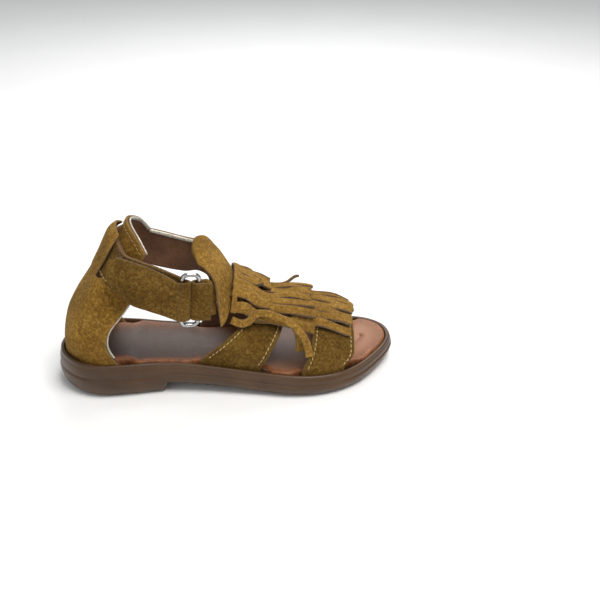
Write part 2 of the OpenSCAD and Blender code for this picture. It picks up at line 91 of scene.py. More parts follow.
def patch(grid, us, vs):
    """Points of the patch at shares us along the rows and vs across them: array (vs, us, 3)."""
    g = np.asarray(grid, float)
    rows = curve(g, np.asarray(vs) * (len(g) - 1))
    return curve(np.swapaxes(rows, 0, 1), np.asarray(us) * (g.shape[1] - 1)).swapaxes(0, 1)


def flip(grid):
    """The same patch with its rows run the other way, which turns its outward side round."""
    return np.asarray(grid, float)[:, ::-1]


def unit(v):
    """Vectors made one long, along the last axis."""
    return v / np.maximum(np.linalg.norm(v, axis=-1, keepdims=True), 1e-9)


def normals_of(p):
    """Outward unit normals of a grid of points, as the CAD model takes them."""
    du = np.empty_like(p)
    dv = np.empty_like(p)
    du[:, 1:-1] = p[:, 2:] - p[:, :-2]
    du[:, 0], du[:, -1] = p[:, 1] - p[:, 0], p[:, -1] - p[:, -2]
    dv[1:-1] = p[2:] - p[:-2]
    dv[0], dv[-1] = p[1] - p[0], p[-1] - p[-2]
    return unit(np.cross(du, dv))


def lengths_along(p):
    """Distance run along the second axis of a grid of points."""
    step = np.linalg.norm(np.diff(p, axis=1), axis=2)
    return np.concatenate([np.zeros((len(p), 1)), np.cumsum(step, axis=1)], axis=1)


def run_along(path):
    """Distance run along one line of points."""
    return lengths_along(np.asarray(path, float)[None])[0]


def smooth(x):
    """Soft step: 0 up to x = 0, 1 from x = 1."""
    x = np.clip(x, 0, 1)
    return x * x * (3 - 2 * x)


def lumps(points, size, seed=0.0):
    """Smooth noise from about -1 to 1, its features about size millimetres across."""
    flat = points.reshape(-1, 3) / size + seed
    return np.array([noise.noise(Vector(q)) for q in flat]).reshape(points.shape[:-1])


# ------------ meshes


def make_object(name, verts, faces, mats, face_mats=None, attributes=None):
    """A smooth-shaded mesh object. face_mats are material numbers, attributes are values per point."""
    mesh = bpy.data.meshes.new(name)
    mesh.from_pydata((np.asarray(verts) * MM).tolist(), [], [tuple(int(i) for i in f) for f in faces])
    for m in mats:
        mesh.materials.append(m)
    if face_mats is not None:
        mesh.polygons.foreach_set("material_index", np.asarray(face_mats, np.int32))
    for key, values in (attributes or {}).items():
        layer = mesh.attributes.new(key, "FLOAT", "POINT")
        layer.data.foreach_set("value", np.asarray(values, np.float32))
    mesh.polygons.foreach_set("use_smooth", np.ones(len(mesh.polygons), bool))
    mesh.validate()
    mesh.update()
    obj = bpy.data.objects.new(name, mesh)
    bpy.context.scene.collection.objects.link(obj)
    return obj


def place(obj, slot, body="shoe", nodes=()):
    """Puts a finished piece on its body and hides the CAD nodes it stands for. Its slot argument is not
    used.
    """
    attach(obj, body)
    if nodes:
        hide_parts(*nodes)


EDGE_LINES = (0.12, 0.35, 0.75)


def spaced(length, step):
    """Shares 0 to 1 about step apart, with extra lines close to both ends for a rounded edge."""
    near = [e / length for e in EDGE_LINES]
    n = max(int(round(length / step)), 4)
    inner = [k / n for k in range(1, n) if near[-1] * 1.3 < k / n < 1 - near[-1] * 1.3]
    return np.array([0.0] + near + inner + [1 - e for e in reversed(near)] + [1.0])


def sheet(name, grid, mats, thickness=SUEDE, off=0.0, step=0.9, round_r=0.5, wave=0.18, wave_size=9.0,
          seams=(), us=(0, 1), vs=(0, 1), nap=0.05, shape=None):
    """A sheet of leather over a patch. mats are outer face, inner face and cut edge.

    off moves its outer face out along the normals, and its edges are rounded over round_r.
    wave and nap are the heights of broad waves, wave_size across, and of the fine unevenness.
    seams are (side, distance) pairs that get a sewn groove; sides are "u0", "u1", "v0" and "v1".
    shape(points, normals, s, t) may move the points before they are made thick.
    """
    g = np.asarray(grid, float)
    rough = patch(g, np.linspace(*us, 25), np.linspace(*vs, 13))
    len_u = lengths_along(rough)[:, -1].mean()
    len_v = lengths_along(rough.swapaxes(0, 1))[:, -1].mean()
    s = spaced(len_u, step)
    t = spaced(len_v, step)
    p = patch(g, us[0] + (us[1] - us[0]) * s, vs[0] + (vs[1] - vs[0]) * t)
    n = normals_of(p)
    if shape is not None:
        p = shape(p, n, s, t)
        n = normals_of(p)
    run_u, run_v = lengths_along(p), lengths_along(p.swapaxes(0, 1)).T
    sides = {"u0": run_u, "u1": run_u[:, -1:] - run_u, "v0": run_v, "v1": run_v[-1:] - run_v}
    border = np.minimum.reduce(list(sides.values()))
    rounding = round_r - np.sqrt(np.maximum(round_r**2 - (round_r - border)**2, 0))
    drop = np.minimum(np.where(border < round_r, rounding, 0), thickness * 0.38)
    move = wave * lumps(p, wave_size, 3.1) * smooth(border / 4) + nap * lumps(p, 1.3, 7.7)
    for side, distance in seams:
        move = move - 0.22 * np.exp(-((sides[side] - distance) / 0.45)**2)
    outer = p + n * (off - drop + move)[..., None]
    inner = p + n * (off - thickness + drop + move * 0.6)[..., None]
    rows, cols = p.shape[:2]
    count = rows * cols
    a = (np.arange(rows - 1)[:, None] * cols + np.arange(cols - 1)).ravel()
    skin = np.stack([a, a + 1, a + cols + 1, a + cols], 1)
    back = skin[:, ::-1] + count
    low = np.arange(cols - 1)
    high = (rows - 1) * cols + low
    left = np.arange(rows - 1) * cols
    right = left + cols - 1
    strips = [np.stack([low, low + count, low + 1 + count, low + 1], 1),
              np.stack([high, high + 1, high + 1 + count, high + count], 1),
              np.stack([left, left + cols, left + cols + count, left + count], 1),
              np.stack([right, right + count, right + cols + count, right + cols], 1)]
    faces = np.concatenate([skin, back] + strips)
    kinds = np.concatenate([np.zeros(len(skin)), np.ones(len(back)), np.full(sum(map(len, strips)), 2)])
    edge = np.exp(-border / 0.9).ravel()
    return make_object(name, np.concatenate([outer.reshape(-1, 3), inner.reshape(-1, 3)]), faces, mats,
                       kinds, {"edge": np.concatenate([edge, edge])})


def tube(path, radius, sides=10, flat=1.0, up=(0, 0, 1)):
    """Verts and faces of a tube along a path, narrowed at its ends; flat is its width across up."""
    p = np.asarray(path, float)
    r = np.broadcast_to(np.asarray(radius, float), (len(p),)).copy()
    first, last = unit(p[0] - p[1]), unit(p[-1] - p[-2])
    p = np.concatenate([[p[0] + first * r[0] * 0.6], p, [p[-1] + last * r[-1] * 0.6]])
    r = np.concatenate([[r[0] * 0.45], r, [r[-1] * 0.45]])
    t = unit(np.gradient(p, axis=0))
    a = unit(np.cross(t, np.asarray(up, float)))
    b = np.cross(a, t)
    ang = np.arange(sides) * 2 * np.pi / sides
    ring = a[:, None] * np.cos(ang)[None, :, None] * flat + b[:, None] * np.sin(ang)[None, :, None]
    verts = (p[:, None] + ring * r[:, None, None]).reshape(-1, 3)
    faces = []
    for i in range(len(p) - 1):
        for k in range(sides):
            m = (k + 1) % sides
            faces.append((i * sides + k, i * sides + m, (i + 1) * sides + m, (i + 1) * sides + k))
    faces.append(tuple(range(sides))[::-1])
    faces.append(tuple((len(p) - 1) * sides + k for k in range(sides)))
    return verts, faces


def join_parts(parts):
    """One list of verts and faces from several."""
    verts, faces, base = [], [], 0
    for v, f in parts:
        verts.append(np.asarray(v))
        faces += [tuple(i + base for i in face) for face in f]
        base += len(v)
    return np.concatenate(verts), faces


def resample(path, step):
    """Points every step millimetres along a path, with the tangent at each."""
    p = np.asarray(path, float)
    run = run_along(p)
    places = np.arange(step * 0.5, run[-1] - step * 0.3, step)
    at = np.stack([np.interp(places, run, p[:, k]) for k in range(3)], 1)
    on = np.stack([np.interp(places + 0.1, run, p[:, k]) for k in range(3)], 1)
    return at, unit(on - at)


STITCH_PITCH, STITCH_LENGTH, THREAD_R = 2.3, 1.55, 0.2
STITCH_ARC = [(-0.5, -0.16), (-0.32, 0.03), (0, 0.1), (0.32, 0.03), (0.5, -0.16)]


def stitches(name, rows, mat):
    """Sewn rows: each stitch is a short rounded thread lying in its groove. rows are (path, normals)."""
    parts = []
    for path, normals in rows:
        at, along = resample(path, STITCH_PITCH)
        nearest = np.argmin(((at[:, None] - path[None])**2).sum(2), axis=1)
        for q, direction, n in zip(at, along, normals[nearest]):
            skew = direction + np.cross(n, direction) * 0.14
            line = [q + skew * STITCH_LENGTH * x + n * z for x, z in STITCH_ARC]
            radii = [0.1, THREAD_R, THREAD_R * 1.1, THREAD_R, 0.1]
            parts.append(tube(line, radii, 7, up=n + 1e-4))
    verts, faces = join_parts(parts)
    place(make_object(name, verts, faces, [mat]), "suede")


def grid_line(grid, side, distance, us=(0, 1), vs=(0, 1), off=0.0, ends=1.5):
    """A line over a patch at a distance inside one of its sides, and the normals along it."""
    g = np.asarray(grid, float)
    count = 70
    dense = patch(g, np.linspace(*us, count), np.linspace(*vs, count))
    n = normals_of(dense)
    if side[0] == "v":
        dense, n = dense.swapaxes(0, 1), n.swapaxes(0, 1)
    run = lengths_along(dense)
    if side[1] == "1":
        dense, n, run = dense[:, ::-1], n[:, ::-1], run[:, -1:] - run[:, ::-1]
    line, normals = [np.array([[np.interp(distance, run[i], values[i, :, k]) for k in range(3)]
                               for i in range(count)]) for values in (dense, n)]
    along = run_along(line)
    keep = (along > ends) & (along < along[-1] - ends)
    return line[keep] + normals[keep] * off, normals[keep]


# ------------ materials


class Nodes:
    """Adds shader nodes to one new material. Sizes are in millimetres."""

    def __init__(self, name):
        self.mat = bpy.data.materials.new(name)
        self.mat.use_nodes = True
        self.tree = self.mat.node_tree
        self.bsdf = self.tree.nodes["Principled BSDF"]
        self.coords = self.add("ShaderNodeTexCoord").outputs["Object"]

    def add(self, kind, **settings):
        node = self.tree.nodes.new(kind)
        for key, value in settings.items():
            setattr(node, key, value)
        return node

    def link(self, a, b):
        self.tree.links.new(a, b)

    def noise(self, size_mm, detail=3.0, rough=0.6, distortion=0.0, stretch=None):
        node = self.add("ShaderNodeTexNoise")
        node.inputs["Scale"].default_value = 1000.0 / size_mm
        node.inputs["Detail"].default_value = detail
        node.inputs["Roughness"].default_value = rough
        node.inputs["Distortion"].default_value = distortion
        if stretch:
            mapping = self.add("ShaderNodeMapping")
            mapping.inputs["Scale"].default_value = stretch
            self.link(self.coords, mapping.inputs["Vector"])
            self.link(mapping.outputs["Vector"], node.inputs["Vector"])
        else:
            self.link(self.coords, node.inputs["Vector"])
        return node.outputs["Fac"]

    def cells(self, size_mm):
        node = self.add("ShaderNodeTexVoronoi")
        node.inputs["Scale"].default_value = 1000.0 / size_mm
        self.link(self.coords, node.inputs["Vector"])
        return node.outputs["Distance"]

    def ramp(self, fac, stops):
        node = self.add("ShaderNodeValToRGB")
        ramp = node.color_ramp
        while len(ramp.elements) < len(stops):
            ramp.elements.new(0.5)
        for element, (pos, colour) in zip(ramp.elements, stops):
            element.position = pos
            element.color = (*colour, 1)
        self.link(fac, node.inputs["Fac"])
        return node.outputs["Color"]

    def mix(self, fac, a, b):
        node = self.add("ShaderNodeMix", data_type="RGBA")
        for value, socket in ((fac, 0), (a, 6), (b, 7)):
            if isinstance(value, (int, float)):
                node.inputs[socket].default_value = value
            elif isinstance(value, tuple):
                node.inputs[socket].default_value = (*value, 1)
            else:
                self.link(value, node.inputs[socket])
        return node.outputs[2]

    def math(self, op, a, b=0.0, c=0.0):
        node = self.add("ShaderNodeMath", operation=op)
        for socket, value in zip(node.inputs, (a, b, c)):
            if isinstance(value, (int, float)):
                socket.default_value = value
            else:
                self.link(value, socket)
        return node.outputs[0]

    def times(self, a, b):
        return self.math("MULTIPLY", a, b)

    def scaled(self, value, factor, added):
        return self.math("MULTIPLY_ADD", value, factor, added)

    def blend(self, a, share_a, b, share_b):
        return self.math("ADD", self.times(a, share_a), self.times(b, share_b))

    def attribute(self, name):
        return self.add("ShaderNodeAttribute", attribute_name=name).outputs["Fac"]

    def axis(self, index):
        node = self.add("ShaderNodeSeparateXYZ")
        self.link(self.coords, node.inputs[0])
        return node.outputs[index]

    def bump(self, height, distance_mm, strength):
        node = self.add("ShaderNodeBump")
        node.inputs["Distance"].default_value = distance_mm * MM
        node.inputs["Strength"].default_value = strength
        self.link(height, node.inputs["Height"])
        return node.outputs["Normal"]

    def finish(self, colour, normal=None, rough=None, **constants):
        self.link(colour, self.bsdf.inputs["Base Color"])
        if normal is not None:
            self.link(normal, self.bsdf.inputs["Normal"])
        if rough is not None:
            self.link(rough, self.bsdf.inputs["Roughness"])
        for key, value in constants.items():
            self.bsdf.inputs[key.replace("_", " ")].default_value = value
        return self.mat


def shaded(colour, shade):
    return tuple(v * shade for v in colour)


def suede_material(name, shade=1.0):
    """Napped suede: speckled brushed fibres over broad light and dark strokes, lighter at cut edges."""
    m = Nodes(name)
    speckle = m.noise(1.3, 5, 0.8, 0.3)
    stroke = m.noise(17, 3, 0.55, 0.6)
    fibre = m.noise(0.42, 2, 0.6, 0.0, (1, 1, 0.55))
    tone = m.blend(speckle, 0.74, stroke, 0.26)
    tones = ((0.38, (0.08, 0.036, 0.005)), (0.5, (0.21, 0.105, 0.015)), (0.62, (0.45, 0.262, 0.058)))
    colour = m.ramp(tone, [(place_in, shaded(c, shade)) for place_in, c in tones])
    colour = m.mix(m.times(fibre, 0.3), colour, shaded((0.28, 0.15, 0.026), shade))
    worn = m.times(m.attribute("edge"), m.scaled(speckle, 0.9, 0.05))
    colour = m.mix(worn, colour, shaded((0.3, 0.175, 0.055), shade))
    height = m.blend(speckle, 0.7, fibre, 0.45)
    return m.finish(colour, m.bump(height, 0.9, 1.0), Roughness=0.94, Specular_IOR_Level=0.12,
                    Sheen_Weight=0.12, Sheen_Roughness=0.5, Sheen_Tint=(0.85, 0.6, 0.24, 1))


def cut_edge_material():
    """Raw cut edge of the suede: brown-grey fibres."""
    m = Nodes("cut_edge")
    grain = m.noise(0.8, 4, 0.7)
    colour = m.ramp(grain, [(0.32, (0.065, 0.034, 0.014)), (0.55, (0.155, 0.09, 0.042)),
                            (0.75, (0.27, 0.17, 0.085))])
    return m.finish(colour, m.bump(grain, 0.4, 0.8), Roughness=0.95, Specular_IOR_Level=0.1,
                    Sheen_Weight=0.2, Sheen_Roughness=0.6)


def lining_material():
    """Smooth lining leather with fine pebbled grain and soft creases."""
    m = Nodes("lining_leather")
    pebble = m.cells(0.9)
    cloud = m.noise(9, 4, 0.6)
    crease = m.noise(3.2, 5, 0.7, 1.2)
    tone = m.blend(cloud, 0.6, crease, 0.4)
    colour = m.ramp(tone, [(0.35, (0.105, 0.044, 0.018)), (0.68, (0.21, 0.1, 0.048))])
    height = m.blend(pebble, 0.6, crease, 0.4)
    roughness = m.scaled(crease, 0.3, 0.4)
    return m.finish(colour, m.bump(height, 0.3, 0.55), roughness, Specular_IOR_Level=0.35)


def footbed_material():
    """Footbed leather: taupe in the middle, burnished tan towards its edge, with painted shade darkening
    the middle from the toe back to the heel.
    """
    m = Nodes("footbed_leather")
    pebble = m.cells(0.8)
    cloud = m.noise(12, 4, 0.6)
    crease = m.noise(2.4, 4, 0.65, 0.8)
    # painted shade: the middle colour darkens along the length from the toe back to the heel
    along = m.scaled(m.axis(0), 7.5, 0.5)
    middle = m.ramp(along, [(0.0, (0.026, 0.014, 0.009)), (0.3, (0.075, 0.038, 0.023)),
                            (0.55, (0.2, 0.1, 0.055)), (0.95, (0.37, 0.165, 0.078))])
    middle = m.mix(m.times(cloud, 0.3), middle, (0.075, 0.04, 0.026))
    tan = m.ramp(crease, [(0.3, (0.12, 0.038, 0.011)), (0.7, (0.33, 0.118, 0.036))])
    burnish = m.math("SUBTRACT", m.attribute("burnish"), 0.12)
    colour = m.mix(m.scaled(cloud, 0.3, burnish), middle, tan)
    height = m.blend(pebble, 0.5, crease, 0.5)
    roughness = m.scaled(crease, 0.25, 0.36)
    return m.finish(colour, m.bump(height, 0.22, 0.5), roughness, Specular_IOR_Level=0.42)


def rubber_material():
    """Moulded gum rubber, satin and slightly translucent, with scuffs and dust low down."""
    m = Nodes("sole_rubber")
    cloud = m.noise(20, 4, 0.55)
    scuff = m.noise(2.2, 6, 0.75, 0.5, (0.35, 0.35, 1.6))
    colour = m.ramp(cloud, [(0.3, (0.046, 0.02, 0.006)), (0.7, (0.085, 0.04, 0.014))])
    low = m.times(m.math("SUBTRACT", 1.0, m.times(m.axis(2), 160.0)), 0.5)
    low.node.use_clamp = True
    colour = m.mix(m.times(low, scuff), colour, (0.13, 0.08, 0.045))
    roughness = m.scaled(scuff, 0.35, 0.22)
    return m.finish(colour, m.bump(scuff, 0.12, 0.35), roughness, Subsurface_Weight=0.12,
                    Subsurface_Scale=0.004, Specular_IOR_Level=0.4, Coat_Weight=0.05, Coat_Roughness=0.25)


def binding_material():
    """Pale binding tape with a slight metallic sheen and a mottled grain."""
    m = Nodes("binding")
    grain = m.noise(1.0, 3, 0.6)
    colour = m.ramp(grain, [(0.3, (0.36, 0.33, 0.26)), (0.65, (0.72, 0.69, 0.6))])
    return m.finish(colour, m.bump(grain, 0.15, 0.5), Roughness=0.34, Metallic=0.35,
                    Specular_IOR_Level=0.5)


def thread_material(name, dark, light):
    """Twisted sewing thread."""
    m = Nodes(name)
    twist = m.noise(0.35, 2, 0.5, 0.5)
    colour = m.ramp(twist, [(0.3, dark), (0.7, light)])
    return m.finish(colour, m.bump(twist, 0.1, 0.6), Roughness=0.6, Sheen_Weight=0.2)


def wire_material():
    """Bright nickel-plated wire with fine draw marks."""
    m = Nodes("ring_wire")
    draw = m.noise(0.9, 4, 0.7, 0.0, (1, 1, 0.12))
    colour = m.ramp(draw, [(0.3, (0.3, 0.3, 0.3)), (0.7, (0.5, 0.5, 0.49))])
    roughness = m.scaled(draw, 0.2, 0.12)
    return m.finish(colour, m.bump(draw, 0.04, 0.4), roughness, Metallic=1.0)


def plain_fibre_material(name, dark, light, size):
    """Board, foam, stiffener and touch-fastener tape: matted fibres or cells."""
    m = Nodes(name)
    matting = m.noise(size, 4, 0.7)
    pores = m.cells(size * 0.8)
    colour = m.ramp(m.scaled(pores, 0.3, matting), [(0.35, dark), (0.8, light)])
    return m.finish(colour, m.bump(m.math("ADD", matting, pores), 0.3, 0.6), Roughness=0.9)


suede = suede_material("suede")
# painted shade: a darker copy of the suede for the straps, closure flap and keeper, whose sides face away
# from the light
strap_suede_painted_shade = suede_material("strap_suede_painted_shade", 0.52)
# painted light: a slightly lighter copy of the suede for the fringe, whose top faces the light
fringe_suede_painted_light = suede_material("fringe_suede_painted_light", 1.05)
flesh = suede_material("suede_flesh_side", 0.85)
cut_edge = cut_edge_material()
lining = lining_material()
footbed = footbed_material()
rubber = rubber_material()
binding = binding_material()
thread = thread_material("thread", (0.38, 0.26, 0.08), (0.66, 0.5, 0.22))
dull_thread = thread_material("dull_thread", (0.22, 0.13, 0.03), (0.42, 0.28, 0.09))
dark_thread = thread_material("dark_thread", (0.03, 0.016, 0.007), (0.08, 0.045, 0.02))
wire = wire_material()
tape_mat = plain_fibre_material("fastener_tape", (0.05, 0.03, 0.015), (0.16, 0.1, 0.05), 0.6)
board_mat = plain_fibre_material("insole_board", (0.12, 0.07, 0.035), (0.24, 0.15, 0.08), 1.2)
foam_mat = plain_fibre_material("footbed_foam", (0.12, 0.06, 0.03), (0.22, 0.12, 0.06), 0.7)
counter_mat = plain_fibre_material("heel_stiffener", (0.1, 0.06, 0.03), (0.2, 0.13, 0.07), 0.9)
SUEDE_SET = ("suede", [suede, flesh, cut_edge])
FRINGE_PAINTED_LIGHT_SET = ("suede", [fringe_suede_painted_light, flesh, cut_edge])
STRAP_PAINTED_SHADE_SET = ("suede", [strap_suede_painted_shade, flesh, cut_edge])
LINING_SET = ("lining", [lining, lining, cut_edge])
TAPE_SET = ("tape", [tape_mat] * 3)


def leather(name, grid, leather_set, nodes=(), body="shoe", **settings):
    """Makes a sheet from one of the sets above and places it on its body."""
    slot, mats = leather_set
    place(sheet(name, grid, mats, **settings), slot, body, nodes)


def bound_edge(name, tubes, node):
    """Makes one piece of binding tape from its tubes and places it."""
    verts, faces = join_parts(tubes)
    place(make_object(name, verts, faces, [binding]), "binding", nodes=[node])


# ------------ sole and footbed

# Half widths of the sole at the stations SOLE_X, from the heel to the toe
SOLE_X = [-81, -78.6, -71, -60, -46, -30, -12, 10, 30, 46, 60, 71, 78.6, 81]
LATERAL_Y = [0, 10.5, 20.5, 25.6, 25.2, 23.4, 24.6, 28.3, 32, 30.6, 23.6, 11.5, -0.5]
MEDIAL_Y = [0, 10.5, 20.5, 25.2, 24.6, 22, 21.5, 26, 31, 32, 31.4, 27.8, 20.5]
SIDES = len(SOLE_X) - 2
LATERAL_SIDE = [[SOLE_X[i], -LATERAL_Y[i]] for i in range(1, SIDES + 1)]
MEDIAL_SIDE = [[SOLE_X[i], MEDIAL_Y[i]] for i in range(SIDES, 0, -1)]
OUTLINE = np.array([[SOLE_X[0], 0]] + LATERAL_SIDE + [[SOLE_X[-1], 10.5]] + MEDIAL_SIDE, float)
RIM_CURVE = [17, 16.8, 16, 14.4, 12.2, 10.8, 10.2, 10.4]
BREAST = 5  # place along the outline where the heel ends in a step


def outline_at(t, inset):
    """Points at places t along the outline, from the heel round the lateral side, moved inward."""
    t = np.atleast_1d(np.asarray(t, float)) % len(OUTLINE)
    p = loop_curve(OUTLINE, t)
    e = loop_curve(OUTLINE, t + 0.04) - loop_curve(OUTLINE, (t - 0.04) % len(OUTLINE))
    n = unit(np.stack([-e[:, 1], e[:, 0]], 1))
    return p + n * np.broadcast_to(np.asarray(inset, float), (len(p),))[:, None]


def rim_z(x):
    """Height of the sole's rim."""
    share = np.clip((np.asarray(x, float) - SOLE_X[0]) / (SOLE_X[-1] - SOLE_X[0]), 0, 1)
    return curve(RIM_CURVE, (len(RIM_CURVE) - 1) * share.ravel())


def floor_z(x):
    """Height of the floor of the tray that the footbed lies in."""
    return rim_z(x) - TRAY_DEPTH


def under_z(x):
    """Height of the underside: flat heel, raised waist, toe spring."""
    x = np.asarray(x, float)
    waist = HEEL_STEP * (1 - smooth((x + 30) / 64))
    toe = 2.6 * (np.maximum(x - 44, 0) / 37)**2
    return np.where(x < -30, 0.0, np.where(x < 34, waist, toe))


def window(x, a, b):
    """1 between a and b, fading to 0 over 3 mm at each end."""
    return smooth((x - a) / 3 + 0.5) * smooth((b - x) / 3 + 0.5)


def footbed_edge(t):
    """Inset of the footbed's edge, with pockets where the uppers go down between it and the rim."""
    p = outline_at(t, RIM_INSET)
    x, y = p[:, 0], p[:, 1]
    lateral_front = (y < 4) & (x > 0)
    side, heel = window(x, -17, 18), window(x, -90, -44)
    pocket = np.where(lateral_front, np.maximum(side, window(x, 30, 62)),
                      np.maximum.reduce([heel, side, window(x, 30, 66)]))
    return RIM_INSET + 0.15 + (UPPER_TOTAL + 0.3) * pocket


def rim_point(t, h):
    """A point of an upper's foot inside the rim: h = 0 at the tray's floor, 1 just above the rim."""
    p = outline_at(t, RIM_INSET + 0.15)[0]
    low = floor_z(p[0])[0] + 0.3
    return [p[0], p[1], low + (rim_z(p[0])[0] + 0.6 - low) * h]


RING_STEPS = 7
EVEN_PLACES = {k / RING_STEPS for k in range(RING_STEPS * (SIDES + 1) + 1)}
HALF_PLACES = np.array(sorted(EVEN_PLACES - {float(BREAST)} | {BREAST - 0.05, BREAST + 0.05}))
PLACES = np.concatenate([HALF_PLACES, len(OUTLINE) - HALF_PLACES[-2:0:-1]])


def cap_rows(ring, inner_rows, height):
    """Fills a ring with lines from its lateral to its medial points. Returns extra verts and faces."""
    m = len(ring)
    index = [[k] for k in range(m // 2 + 1)]
    verts, faces = [], []
    for k in range(1, m // 2):
        a, b = ring[k], ring[m - k]
        line = [k]
        for j in range(1, inner_rows + 1):
            q = a + (b - a) * j / (inner_rows + 1)
            verts.append([q[0], q[1], height(q, a, b)])
            line.append(m + len(verts) - 1)
        index[k] = line + [m - k]
    for k in range(1, m // 2 - 1):
        for j in range(inner_rows + 1):
            faces.append((index[k][j], index[k + 1][j], index[k + 1][j + 1], index[k][j + 1]))
    for end, near in ((0, 1), (m // 2, m // 2 - 1)):
        for j in range(inner_rows + 1):
            tri = (end, index[near][j], index[near][j + 1])
            faces.append(tri if end == 0 else tri[::-1])
    return np.array(verts), faces


def lofted(rings, low_cap, high_cap, inner_rows):
    """Solid through rings, closed by two caps whose heights come from the given functions."""
    m = len(rings[0])
    verts = np.concatenate(rings)
    faces = [(r * m + k, r * m + (k + 1) % m, (r + 1) * m + (k + 1) % m, (r + 1) * m + k)
             for r in range(len(rings) - 1) for k in range(m)]
    last = (len(rings) - 1) * m
    for ring, base, height, turn in ((rings[0], 0, low_cap, True), (rings[-1], last, high_cap, False)):
        extra, cap = cap_rows(ring, inner_rows, height)
        start = len(verts)
        verts = np.concatenate([verts, extra])
        shifted = [tuple(i + base if i < m else i - m + start for i in f) for f in cap]
        faces += [f[::-1] if turn else f for f in shifted]
    return verts, faces


def side_ring(inset, h):
    """Ring of the sole's side at share h of its height."""
    p = outline_at(PLACES, inset)
    low, high = under_z(p[:, 0]), rim_z(p[:, 0])
    return np.column_stack([p, low + (high - low) * h])


def bed_ring(inset, dz):
    """Ring inside the footbed's edge, dz above the rim."""
    p = outline_at(PLACES, footbed_edge(PLACES) + inset)
    return np.column_stack([p, rim_z(p[:, 0]) + dz])


def tread(q, a, b):
    """Underside of the sole: shallow bars across the heel and the ball, inside a plain border."""
    depth = 0.9 if q[0] < -36 or 2 < q[0] < 68 else 0.0
    border = min(np.hypot(*(q - a)[:2]), np.hypot(*(q - b)[:2]))
    bars = 0.5 + 0.5 * math.sin(q[0] * 2 * math.pi / 6.4 + 0.9 * math.sin(q[1] / 6))
    cut = smooth((border - 3) / 1.5) * smooth((bars - 0.35) / 0.3)
    return float(under_z(q[0]) + depth * cut)


def tray_floor(q, a, b):
    return float(floor_z(q[0])[0])


def build_sole():
    side = [(4.6, 0), (3.5, 0.015), (2.4, 0.06), (1.5, 0.13), (0.8, 0.22), (0.25, 0.34), (0, 0.45),
            (0.05, 0.5), (0.3, 0.54), (0.62, 0.565), (0.6, 0.59), (0.42, 0.63), (0.4, 0.72), (0.6, 0.8),
            (0.95, 0.865), (1.12, 0.89), (1.02, 0.915), (1.1, 0.95), (1.45, 0.985), (1.95, 1.0),
            (2.5, 0.995), (2.9, 0.975), (3.15, 0.94)]
    rings = [side_ring(inset, h) for inset, h in side]
    wall = outline_at(PLACES, RIM_INSET)
    rings.append(np.column_stack([wall, rim_z(wall[:, 0]) - 1.4]))
    rings.append(np.column_stack([wall, floor_z(wall[:, 0])]))
    for ring in rings[4:]:
        ring[:, 2] += 0.06 * lumps(ring, 14)
    verts, faces = lofted(rings, tread, tray_floor, 22)
    place(make_object("outsole_moulding", verts, faces, [rubber]), "rubber", nodes=["outsole"])


def bed_height(drop, mottle):
    """Heights of the footbed's hollow between two edge points a and b, lowered by drop."""
    def height(q, a, b):
        share = min(np.hypot(*(q - a)[:2]) / max(np.hypot(*(b - a)[:2]), 1e-6), 1)
        hollow = 0.35 * math.sin(math.pi * share)
        return float(rim_z(q[0])[0]) - 1.5 - drop + mottle * noise.noise(Vector(q) / 17) - hollow
    return height


def build_footbed():
    board_z = 1.65 - TRAY_DEPTH
    dish = [(0, board_z), (0, -0.9), (0.12, -0.2), (0.45, 0.28), (1.1, 0.5), (2.2, 0.36), (4.2, -0.22),
            (6.5, -0.8), (9, -1.25), (12, -1.5)]
    under = [(12, -1.5 - COVER), (6.5, -0.8 - COVER), (COVER + 1.4, 0.4 - COVER), (COVER, -0.8),
             (COVER, board_z)]
    rings = [bed_ring(inset, z) for inset, z in under + dish]
    verts, faces = lofted(rings, bed_height(COVER, 0), bed_height(0, 0.12), 14)
    depth = np.full(len(verts), 12.0)
    ringed = [0.0] * len(under) + [inset for inset, _ in dish]
    depth[:len(ringed) * len(PLACES)] = np.repeat(ringed, len(PLACES))
    burnish = np.exp(-(depth / 4.6)**2)
    obj = make_object("footbed_leather", verts, faces, [footbed], attributes={"burnish": burnish})
    place(obj, "footbed_leather", nodes=["footbed_cover"])


build_sole()
build_footbed()

# ------------ heel


def heel_row(xb, w, xf, z, zb):
    """Level row of the heel: back at xb and zb, half width w, front edges at xf and z."""
    xc = min(-57, xf - 5)
    side = [[xf, w, z], [(xf + xc) / 2, w, z + (zb - z) * 0.1]]
    for a in (90, 62, 34):
        c, s = max(math.cos(math.radians(a)), 0), math.sin(math.radians(a))
        side.append([xc - (xc - xb) * c**0.86, w * s**0.86, z + (zb - z) * (0.2 + 0.8 * (90 - a) / 90)])
    lateral = [[x, -y, h] for x, y, h in side]
    return lateral + [[xb, 0, zb]] + side[::-1]


def heel_base(h, back=0.0):
    """Row of the heel's foot inside the rim; back draws its front edges toward the back."""
    places = [t - back * (t - 3.2 if t > 3.3 else 0) for t in (4, 3.6, 3.15, 2.35, 1.15)]
    return [rim_point(t, h) for t in places] + [rim_point(0, h)] + [rim_point(-t, h) for t in places[::-1]]


QUARTER = flip([heel_base(0), heel_base(1, 0.5), heel_row(-77, 23, -55.5, 25, 26),
                heel_row(-74.6, 23.2, -54, 33, 36), heel_row(-70, 22.3, -48, 41, 45),
                heel_row(-66, 19.8, -43.5, 47.5, 51), heel_row(-62.4, 17.3, -42.5, 54, 56)])
# The shown quarter has one row more, which runs up under the back loop
QUARTER_FACE = np.concatenate([QUARTER, flip([heel_row(-60.2, 15.7, -43.5, 57.6, 57.6)])])


def mirrored_rows(rows):
    """Full rows from lateral halves that end at the middle."""
    return flip([r + [[x, -y, z] for x, y, z in r[-2::-1]] for r in rows])


